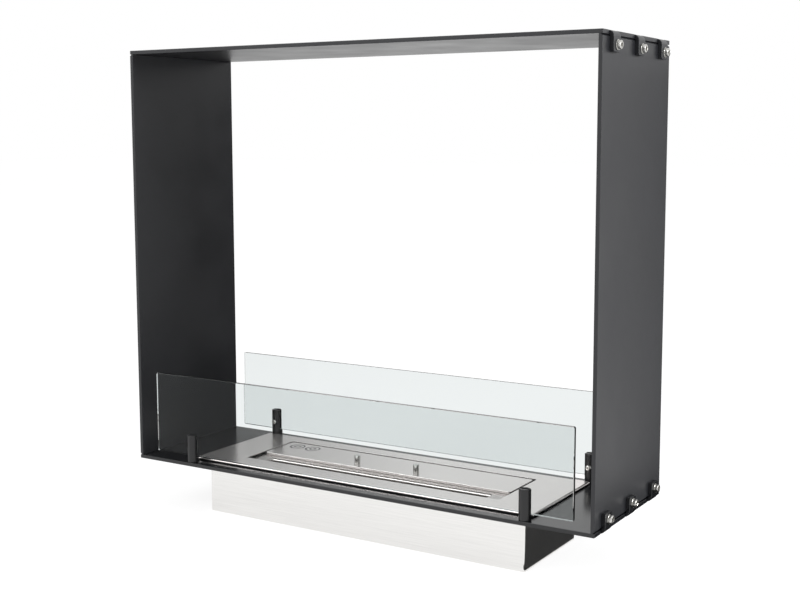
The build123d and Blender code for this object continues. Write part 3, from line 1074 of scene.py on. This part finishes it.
@dataclass
class GlassGuards(SubAssembly):
    """The two panes with their slotted posts, liners, clamp screws and post screws."""

    edge_radius: float = 0.2 * MM
    clamp_head_radius: float = 3.8 * MM
    clamp_head_height: float = 2.2 * MM
    clamp_rim: float = 0.1 * MM
    clamp_face_radius: float = 1.8 * MM
    clamp_dome_steps: int = 7
    clamp_shank_radius: float = 2 * MM
    clamp_socket_half: float = 1.25 * MM
    clamp_socket_depth: float = 1.3 * MM
    foot_head_radius: float = 5 * MM
    foot_head_height: float = 2.8 * MM
    foot_shank_radius: float = 2.5 * MM
    foot_socket_half: float = 1.5 * MM
    foot_socket_depth: float = 1.6 * MM
    drill_share: float = 0.5
    edge: float = 0.15 * MM

    def clamp_screw(self, length: float) -> list[Station]:
        """The stations of one clamp screw, from its tip to the floor of its socket.

        Args:
            length: the shank's length.

        Returns:
            The stations.
        """
        top = self.clamp_head_height
        return [
            *shank_end(self.clamp_shank_radius, -length, self.edge),
            Station("shank", self.clamp_shank_radius, 0.0),
            Station("head seat", self.clamp_head_radius, 0.0),
            *dome(self.clamp_head_radius, self.clamp_rim, top, self.clamp_dome_steps,
                  self.clamp_face_radius),
            *socket(self.clamp_socket_half, top, self.clamp_socket_depth, self.edge),
        ]

    def foot_screw(self, length: float) -> list[Station]:
        """The stations of one countersunk screw, from its tip to the floor of its socket.

        Args:
            length: the whole length.

        Returns:
            The stations.
        """
        half = self.foot_socket_half
        return [
            *shank_end(self.foot_shank_radius, -length, self.edge),
            Station("neck", self.foot_shank_radius, -self.foot_head_height),
            Station("head side", self.foot_head_radius, -self.edge),
            Station("head face", self.foot_head_radius - self.edge, 0.0),
            Station("socket rim", half, 0.0, Section.HEXAGON),
            Station("socket floor", half, -self.foot_socket_depth, Section.HEXAGON),
            Station("drill", half * self.drill_share, -self.foot_socket_depth - self.edge),
        ]

    def build(self) -> None:
        """Make posts and screws, and dress panes and liners."""
        clamps = []
        feet = []
        clamp_low, clamp_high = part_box("clamp_screws")
        foot_low, foot_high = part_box("post_screws")
        clamp_height = (clamp_low.z + clamp_high.z) / 2
        for post in ("front_left_post", "front_right_post", "back_left_post", "back_right_post"):
            self.add(f"slotted_{post}", eased_copy(post, self.edge_radius), "frame", [ANODISED],
                     post)
            low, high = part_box(post)
            inward = 1.0 if low.y < 0 else -1.0
            face = high.y if inward > 0 else low.y
            middle = (low + high) / 2
            clamps.append(Place(Vector((middle.x, face, clamp_height)),
                                Vector((0.0, inward, 0.0))))
            feet.append(Place(Vector((middle.x, middle.y, foot_low.z)),
                              Vector((0.0, 0.0, -1.0))))
        clamp = self.clamp_screw(clamp_high.y - abs(clamps[0].point.y))
        foot = self.foot_screw(foot_high.z - foot_low.z)
        self.add_turned(TurnedSet("clamp_screw_set", clamp, clamps), "clamp_screws")
        self.add_turned(TurnedSet("post_foot_screw_set", foot, feet), "post_screws")
        for pane in ("front_glass", "back_glass"):
            self.dress(pane, GLASS)
        self.dress("glass_liners", LINER)


@dataclass
class Burner(SubAssembly):
    """The casing, its flange with the seal, and what ties them to the frame."""

    edge_radius: float = 0.2 * MM
    fold_radius: float = 1.8 * MM
    end_steep: float = 0.7
    lip_steep: float = 0.25
    rim_steep: float = 0.96
    stud_radius: float = 2.5 * MM
    stud_sides: int = 24
    thread_pitch: float = 0.8 * MM
    thread_depth: float = 0.45 * MM
    washer_radius: float = 5 * MM
    washer_bore: float = 2.9 * MM
    nut_half: float = 4 * MM
    nut_chamfer: float = 0.5 * MM
    edge: float = 0.12 * MM
    rows: int = 3

    def build(self) -> None:
        """Make the steel shells and the fasteners under the plate."""
        casing = eased_copy("burner_casing", self.edge_radius)
        mark_faces(casing, Axis.X, low=self.end_steep)
        self.add("casing_shell", casing, "frame", [BRUSHED, BRUSHED_DEEP], "burner_casing")
        flange = eased_copy("burner_flange", self.edge_radius, fold=self.fold_radius)
        # Its upright lip faces get the nearly black finish: painted shade and a painted dark
        # reflection of the deck
        mark_faces(flange, Axis.Z, high=self.lip_steep)
        self.mark_recess_rim(flange)
        self.add("flange_panel", flange, "frame", [FINE_BRUSHED_PAINTED_LIGHT, OXIDE_AND_PAINTED_SHADE], "burner_flange")
        self.dress("sealing_strip", SEAL)
        # Painted shade: the support frame down in the recess is nearly black all over
        self.dress("tank_support_frame", OXIDE_AND_PAINTED_SHADE)
        self.build_fasteners()

    def mark_recess_rim(self, flange: Mesh) -> None:
        """Paint the cut rim of the recess, with its rounded corner, nearly black as painted shade of
        the gap.

        Args:
            flange: the flange's mesh.
        """
        low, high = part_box("tank_support_frame")
        for face in flange.polygons:
            inside = all(low[axis] < face.center[axis] < high[axis] for axis in (0, 1))
            if inside and abs(face.normal.z) < self.rim_steep:
                face.material_index = 1

    def places(self) -> list[Place]:
        """Work out where the studs come through the underside of the bottom plate.

        Returns:
            A place for each washer, pointing down.
        """
        low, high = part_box("stud_washers")
        reach = self.washer_radius
        return [Place(Vector((x, y, high.z)), Vector((0.0, 0.0, -1.0)))
                for x in (low.x + reach, high.x - reach)
                for y in evenly(low.y + reach, high.y - reach, self.rows)]

    def stud(self, root: float, nut_end: float, tip: float) -> list[Station]:
        """The stations of one stud, with its thread from the nut to the tip.

        Args:
            root: the height of its weld.
            nut_end: the height of the nut's outer face.
            tip: the height of its end.

        Returns:
            The stations.
        """
        bottom = self.stud_radius - self.thread_depth
        stations = [Station("root", self.stud_radius, root),
                    Station("plain end", self.stud_radius, nut_end - self.thread_pitch)]
        for turn in range(int((tip - nut_end) / self.thread_pitch)):
            height = nut_end + turn * self.thread_pitch
            stations.append(Station(f"groove {turn}", bottom, height - self.thread_pitch / 2))
            stations.append(Station(f"crest {turn}", self.stud_radius, height))
        return [*stations, Station("lead in", bottom, tip)]

    def nut(self, low: float, high: float) -> list[Station]:
        """The stations of one nut, with both ends chamfered to a circle.

        Args:
            low: the height of its seat.
            high: the height of its outer face.

        Returns:
            The stations.
        """
        return [
            Station("seat", self.nut_half - self.edge, low),
            Station("lower flats", self.nut_half, low + self.nut_chamfer, Section.HEXAGON),
            Station("upper flats", self.nut_half, high - self.nut_chamfer, Section.HEXAGON),
            Station("face", self.nut_half - self.edge, high),
            Station("bore rim", self.stud_radius + self.nut_chamfer, high),
            Station("bore high", self.stud_radius, high - self.nut_chamfer),
            Station("bore low", self.stud_radius, low),
        ]

    def build_fasteners(self) -> None:
        """Make the studs, washers and nuts."""
        places = self.places()
        seat = places[0].point.z
        washer_low, washer_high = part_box("stud_washers")
        nut_low, nut_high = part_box("stud_nuts")
        stud_low, stud_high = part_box("flange_studs")
        nut_end = seat - nut_low.z
        stud = self.stud(seat - stud_high.z, nut_end, seat - stud_low.z)
        ring = washer(self.washer_radius, self.washer_bore, washer_high.z - washer_low.z,
                      self.edge, 0.0)
        nut = self.nut(seat - nut_high.z, nut_end)
        for parts, node in (
                (TurnedSet("weld_stud_set", stud, places, sides=self.stud_sides), "flange_studs"),
                (TurnedSet("stud_washer_set", ring, places, hollow=True), "stud_washers"),
                (TurnedSet("stud_nut_set", nut, places, hollow=True), "stud_nuts")):
            self.add_turned(parts, node)


@dataclass
class Tank(SubAssembly):
    """The tank that hangs in the recess, with its fibre blanket."""

    edge_radius: float = 0.2 * MM
    wall: float = 1.2 * MM
    corner_radius: float = 4.2 * MM
    least_corner_radius: float = 1 * MM
    corner_steps: int = 8
    rolled_edge: float = 0.9 * MM
    rim_steep: float = 0.9
    funnel_reach: float = 1.6 * MM
    funnel_depth: float = 3.4 * MM
    funnel_steps: int = 6
    layers: int = 3
    layer_gap: float = 0.4 * MM
    fold_radius: float = 5 * MM
    ripple: float = 0.7 * MM
    ripple_width: float = 22 * MM
    grid: float = 5 * MM
    fill: float = 0.9

    def build(self) -> None:
        """Make the sunk plate, the slot's collar and the blanket, and dress the shell."""
        plate = eased_copy("tank_top", self.edge_radius, fold=self.rolled_edge, rim=Rim.OPENING)
        # Its upright and rolled rim faces get the nearly black finish as painted shade
        mark_faces(plate, Axis.Z, high=self.rim_steep)
        self.add("sunk_plate", plate, "tank", [WARM_GREY_BRUSHED, OXIDE_AND_PAINTED_SHADE], "tank_top")
        self.add("slot_lining", self.lining(), "tank", [WARM_GREY_BRUSHED], "slot_collar")
        self.dress("tank_shell", BRUSHED)
        blanket = self.add("folded_fibre_blanket", self.blanket(), "tank", [WOOL], "fibre_core")

    def lining(self) -> Mesh:
        """Roll the slot's collar, whose bore narrows below its top like a funnel.

        Returns:
            The collar as one closed ring of rounded rectangles.
        """
        low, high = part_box("slot_collar")
        middle = (low + high) / 2
        half = (high - low) / 2
        inset = self.wall + self.funnel_reach
        rings = [(0.0, low.z), (0.0, high.z)]
        for turn in evenly(0.0, math.pi / 2, self.funnel_steps + 1):
            rings.append((self.wall + self.funnel_reach * math.sin(turn),
                          high.z - self.funnel_depth * (1 - math.cos(turn))))
        rings += [(inset, high.z - self.funnel_depth - self.wall), (inset, low.z)]
        shell = bmesh.new()
        loops = []
        for inward, z in rings:
            radius = max(self.corner_radius - inward, self.least_corner_radius)
            loop = []
            for sense_x, sense_y, start in ((1, 1, 0), (-1, 1, 1), (-1, -1, 2), (1, -1, 3)):
                x = middle.x + sense_x * (half.x - inward - radius)
                y = middle.y + sense_y * (half.y - inward - radius)
                for step in range(self.corner_steps + 1):
                    turn = math.pi / 2 * (start + step / self.corner_steps)
                    loop.append(shell.verts.new((x + radius * math.cos(turn),
                                                 y + radius * math.sin(turn), z)))
            loops.append(loop)
        for first, second in zip(loops, loops[1:] + loops[:1]):
            for at in range(len(first)):
                shell.faces.new((first[at - 1], first[at], second[at], second[at - 1]))
        bmesh.ops.recalc_face_normals(shell, faces=shell.faces)
        mesh = plain_mesh("slot_lining", shell)
        smooth(mesh, EASED_ANGLE)
        return mesh

    def blanket(self) -> Mesh:
        """Lay the blanket in its folds.

        Returns:
            The layers, soft at their edges and slightly rippled.
        """
        low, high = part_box("fibre_core")
        shell = bmesh.new()
        pitch = (high.z - low.z) / self.layers
        for layer in range(self.layers):
            floor = low.z + pitch * layer + self.layer_gap / 2
            ceiling = low.z + pitch * (layer + 1) - self.layer_gap / 2
            self.add_layer(shell, Vector((low.x, low.y, floor)), Vector((high.x, high.y, ceiling)))
        mesh = plain_mesh("folded_fibre_blanket", shell)
        mesh.shade_smooth()
        return mesh

    def soft_point(self, share: Vector, middle: Vector, half: Vector) -> Vector:
        """Find one point of a layer's soft and rippled skin.

        Args:
            share: the point's place on a cube from -1 to 1.
            middle: the layer's middle.
            half: half the layer's size.

        Returns:
            The point's place.
        """
        radius = min(self.fold_radius, half.z)
        spot = Vector(s * h for s, h in zip(share, half))
        core = Vector(max(radius - h, min(h - radius, s)) for s, h in zip(spot, half))
        off = spot - core
        if off.length > 0:
            spot = core + off.normalized() * max(abs(reach) for reach in off)
        dip = (noise.noise((middle + spot) / self.ripple_width) - 1) / 2
        outward = Vector(s / h for s, h in zip(spot, half))
        return middle + spot + outward * self.ripple * dip

    def add_layer(self, shell: BMesh, low: Vector, high: Vector) -> None:
        """Add one layer of the blanket as a soft-edged slab.

        Args:
            shell: the mesh that gets the layer.
            low: the slab's lowest corner.
            high: its highest corner.
        """
        middle = (low + high) / 2
        half = (high - low) / 2
        counts = [max(2, round(2 * side / self.grid)) for side in half]
        grown = {}
        for axis in range(3):
            first, second = [other for other in range(3) if other != axis]
            for end in (0, counts[axis]):
                for u in range(counts[first]):
                    for v in range(counts[second]):
                        ring = []
                        for step_u, step_v in ((0, 0), (1, 0), (1, 1), (0, 1)):
                            place = [0, 0, 0]
                            place[axis] = end
                            place[first] = u + step_u
                            place[second] = v + step_v
                            key = tuple(place)
                            if key not in grown:
                                share = Vector(2 * p / c - 1 for p, c in zip(place, counts))
                                grown[key] = shell.verts.new(self.soft_point(share, middle, half))
                            ring.append(grown[key])
                        shell.faces.new(ring)
        bmesh.ops.recalc_face_normals(shell, faces=shell.faces)


@dataclass
class Lid(SubAssembly):
    """The sliding lid with its two knobs and their screws."""

    edge_radius: float = 0.2 * MM
    fold_radius: float = 0.7 * MM
    lip_steep: float = 0.5
    knob_radius: float = 4 * MM
    knob_chamfer: float = 0.6 * MM
    knob_steps: int = 4
    knob_foot: float = 0.2 * MM
    knob_face_share: float = 0.3
    ring_inset: float = 21.7 * MM
    ring_pitch: float = 27 * MM
    ring_setback: float = 18.2 * MM

    def knob(self, height: float) -> list[Station]:
        """The stations of one knob.

        Args:
            height: its height above the lid.

        Returns:
            The stations.
        """
        return [
            Station("foot", self.knob_radius - self.knob_foot, 0.0),
            Station("foot edge", self.knob_radius, self.knob_foot),
            *dome(self.knob_radius, height - self.knob_chamfer, height, self.knob_steps,
                  self.knob_radius - self.knob_chamfer),
            Station("face", self.knob_radius * self.knob_face_share, height),
        ]

    def build(self) -> None:
        """Make the lid with its etched rings, and the knobs."""
        low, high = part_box("sliding_lid")
        first = low.x + self.ring_inset
        row = high.y - self.ring_setback
        # The lid's sheet takes the same paler colour, a painted reflection of a bright lamp
        etched = EtchedStainless(
            "stainless_sheet_brushed_and_etched", "burner_steel", colour=FINE_BRUSHED_PAINTED_LIGHT.colour,
            second_colour=FINE_BRUSHED_PAINTED_LIGHT.second_colour, metallic=FINE_BRUSHED_PAINTED_LIGHT.metallic,
            ring_centres=((first, row), (first + self.ring_pitch, row)))
        sheet = eased_copy("sliding_lid", self.edge_radius, fold=self.fold_radius)
        # Its upright lip faces get the nearly black finish as painted shade of the gap under the
        # lid's edge
        mark_faces(sheet, Axis.Z, high=self.lip_steep)
        self.add("lid_sheet", sheet, "lid", [etched, OXIDE_AND_PAINTED_SHADE], "sliding_lid")
        nodes = ("left_lid_knob", "right_lid_knob")
        places = []
        for node in nodes:
            foot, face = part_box(node)
            middle = (foot + face) / 2
            places.append(Place(Vector((middle.x, middle.y, foot.z)), Vector((0.0, 0.0, 1.0))))
        knobs = TurnedSet("lid_knob_pair", self.knob(face.z - foot.z), places)
        self.add_turned(knobs, *nodes, body="lid", finish=POLISHED)
        self.dress("knob_screws", TURNED)


# How far a flag lies above the floor, and the next one above it, so that none touch
LIFT = 0.002


@dataclass(frozen=True)
class Softbox:
    """A square lamp: its middle, the point that it faces, its side and its power in watts."""

    name: str
    place: Point
    target: Point
    size: float
    power: float


@dataclass(frozen=True)
class Card:
    """A studio card: its corners in order, and how bright it looks at its left and right end.

    Only mirror rays see it, so it is a painted reflection in the steel.
    """

    name: str
    corners: tuple[Point, Point, Point, Point]
    shades: Pair = (0.006, 0.006)


@dataclass
class Studio:
    """The pale floor, the soft lamps, the camera, three dark flags and a graded card.

    The flags and the card are seen only in mirror rays: painted reflections in the steel.
    """

    camera_place: Point = (0.8924, -1.3895, 0.5262)
    camera_turn: float = 31.15
    camera_dip: float = 6.77
    lens: float = 56.03
    shift: Pair = (-0.0239, -0.02)
    floor_size: float = 40.0
    floor_colour: str = "#e4e4e3"
    seen_floor_colour: str = "#9c9c9c"
    floor_glow: float = 0.82
    ambient: float = 0.55
    lamps: tuple[Softbox, ...] = (
        Softbox("key_softbox", (-1.7, -2.3, 2.2), (0.0, 0.0, 0.3), 1.6, 38.0),
        Softbox("side_softbox", (2.2, -0.05, 1.2), (0.35, 0.0, 0.4), 0.7, 30.0))
    # The cards glow for mirror rays alone: painted dark reflections from the three flags, and a
    # painted graded reflection from the left card
    cards: tuple[Card, ...] = (
        Card("casing_flag", ((0.2475, -0.09, LIFT), (0.48, -0.09, LIFT),
                             (0.52, 0.42, LIFT), (0.2475, 0.42, LIFT)), (0.035, 0.035)),
        Card("floor_flag", ((-0.4, 0.15, 2 * LIFT), (0.4, 0.15, 2 * LIFT),
                            (0.75, 1.05, 2 * LIFT), (-0.1, 1.05, 2 * LIFT))),
        Card("back_flag", ((0.0, 1.05, LIFT), (0.75, 1.05, LIFT),
                           (0.75, 1.05, 0.7), (0.0, 1.05, 0.7))),
        Card("left_card", ((-0.8, 0.5, 0.05), (-0.2, 0.5, 0.05),
                           (-0.2, 0.5, 0.33), (-0.8, 0.5, 0.33)), (0.28, 1.0)))

    def build(self) -> None:
        """Set up everything that isn't part of the object."""
        bpy.context.scene.view_settings.view_transform = "Standard"
        self.add_camera()
        self.add_floor()
        self.add_world()
        for lamp in self.lamps:
            self.add_lamp(lamp)
        for card in self.cards:
            self.add_card(card)

    def add_camera(self) -> None:
        """Place the camera at the photograph's viewing angle."""
        camera = new_object("camera", bpy.data.cameras.new("camera"))
        camera.location = self.camera_place
        camera.rotation_euler = (math.radians(90 - self.camera_dip), 0.0,
                                 math.radians(self.camera_turn))
        camera.data.lens = self.lens
        camera.data.shift_x, camera.data.shift_y = self.shift
        bpy.context.scene.camera = camera

    def seen(self, tree: NodeTree) -> NodeSocket:
        """One where a ray comes from the camera, a mirror or glass, and zero elsewhere.

        Args:
            tree: the node tree of the floor or the world.

        Returns:
            The factor.
        """
        path = add_node(tree, "ShaderNodeLightPath").outputs
        direct = add_node(tree, "ShaderNodeMath", {
            0: path["Is Camera Ray"], 1: path["Is Glossy Ray"]}, operation="MAXIMUM").outputs[0]
        return add_node(tree, "ShaderNodeMath", {
            0: direct, 1: path["Is Transmission Ray"]}, operation="MAXIMUM").outputs[0]

    def four_cornered(self, name: str, corners: tuple[Point, ...], material: Material) -> Object:
        """Put a flat four-cornered sheet into the studio.

        Args:
            name: the sheet's name.
            corners: its four corners, in order.
            material: its material.

        Returns:
            The sheet.
        """
        mesh = bpy.data.meshes.new(name)
        mesh.from_pydata(corners, [], [(0, 1, 2, 3)])
        mesh.materials.append(material)
        return new_object(name, mesh)

    def add_floor(self) -> None:
        """Lay a pale matt floor that fades into the background."""
        material = bpy.data.materials.new("pale_studio_floor")
        tree = blank_tree(material)
        seen = self.seen(tree)
        colour = add_node(tree, "ShaderNodeMix", {
            "Factor": seen, "A": linear(self.floor_colour), "B": linear(self.seen_floor_colour)},
            data_type="RGBA").outputs[2]
        matt = add_node(tree, "ShaderNodeBsdfDiffuse", {"Color": colour}).outputs[0]
        strength = add_node(tree, "ShaderNodeMath", {
            0: seen, 1: self.floor_glow}, operation="MULTIPLY").outputs[0]
        glow = add_node(tree, "ShaderNodeEmission", {"Strength": strength}).outputs[0]
        both = add_node(tree, "ShaderNodeAddShader", {0: matt, 1: glow}).outputs[0]
        add_node(tree, "ShaderNodeOutputMaterial", {"Surface": both})
        half = self.floor_size / 2
        corners = ((-half, -half, 0.0), (half, -half, 0.0), (half, half, 0.0), (-half, half, 0.0))
        floor = self.four_cornered("studio_floor", corners, material)

    def add_world(self) -> None:
        """Surround the scene with a soft even light that looks white."""
        world = bpy.data.worlds.new("white_room")
        bpy.context.scene.world = world
        tree = blank_tree(world)
        ambient, white = (
            add_node(tree, "ShaderNodeBackground", {"Color": WHITE, "Strength": level}).outputs[0]
            for level in (self.ambient, 1.0))
        mixed = add_node(tree, "ShaderNodeMixShader", {
            0: self.seen(tree), 1: ambient, 2: white}).outputs[0]
        add_node(tree, "ShaderNodeOutputWorld", {"Surface": mixed})

    def add_lamp(self, softbox: Softbox) -> None:
        """Hang a square softbox and aim it.

        Args:
            softbox: the lamp.
        """
        data = bpy.data.lights.new(softbox.name, "AREA")
        data.shape = "SQUARE"
        data.size = softbox.size
        data.energy = softbox.power
        lamp = new_object(softbox.name, data)
        lamp.location = softbox.place
        aim = Vector(softbox.target) - Vector(softbox.place)
        lamp.rotation_euler = aim.to_track_quat("-Z", "Y").to_euler()

    def add_card(self, card: Card) -> None:
        """Set a card where the plates mirror it, which takes no light from the object.

        It glows at its shades for mirror rays alone: a painted reflection in the steel, dark for
        the flags and graded for the left card.

        Args:
            card: the card.
        """
        material = bpy.data.materials.new(f"{card.name}_cloth")
        tree = blank_tree(material)
        place = add_node(tree, "ShaderNodeTexCoord").outputs["Object"]
        across = add_node(tree, "ShaderNodeSeparateXYZ", {0: place}).outputs[0]
        shade = add_node(tree, "ShaderNodeMapRange", {
            "Value": across, "From Min": min(corner[0] for corner in card.corners),
            "From Max": max(corner[0] for corner in card.corners),
            "To Min": card.shades[0], "To Max": card.shades[1]}).outputs[0]
        painted_reflection = add_node(tree, "ShaderNodeEmission", {"Strength": shade}).outputs[0]
        add_node(tree, "ShaderNodeOutputMaterial", {"Surface": painted_reflection})
        flag = self.four_cornered(card.name, card.corners, material)
        flag.visible_camera = False
        flag.visible_transmission = False
        flag.visible_diffuse = False
        flag.visible_shadow = False


def main() -> None:
    """Dress the object part by part, then light it and look at it."""
    logging.basicConfig(level=logging.INFO, format="%(message)s")
    for assembly in (FrameShell(), TabFasteners(), GlassGuards(), Burner(), Tank(), Lid(),
                     Studio()):
        log.info("%s", type(assembly).__name__)
        assembly.build()


if __name__ == "__main__":
    main()
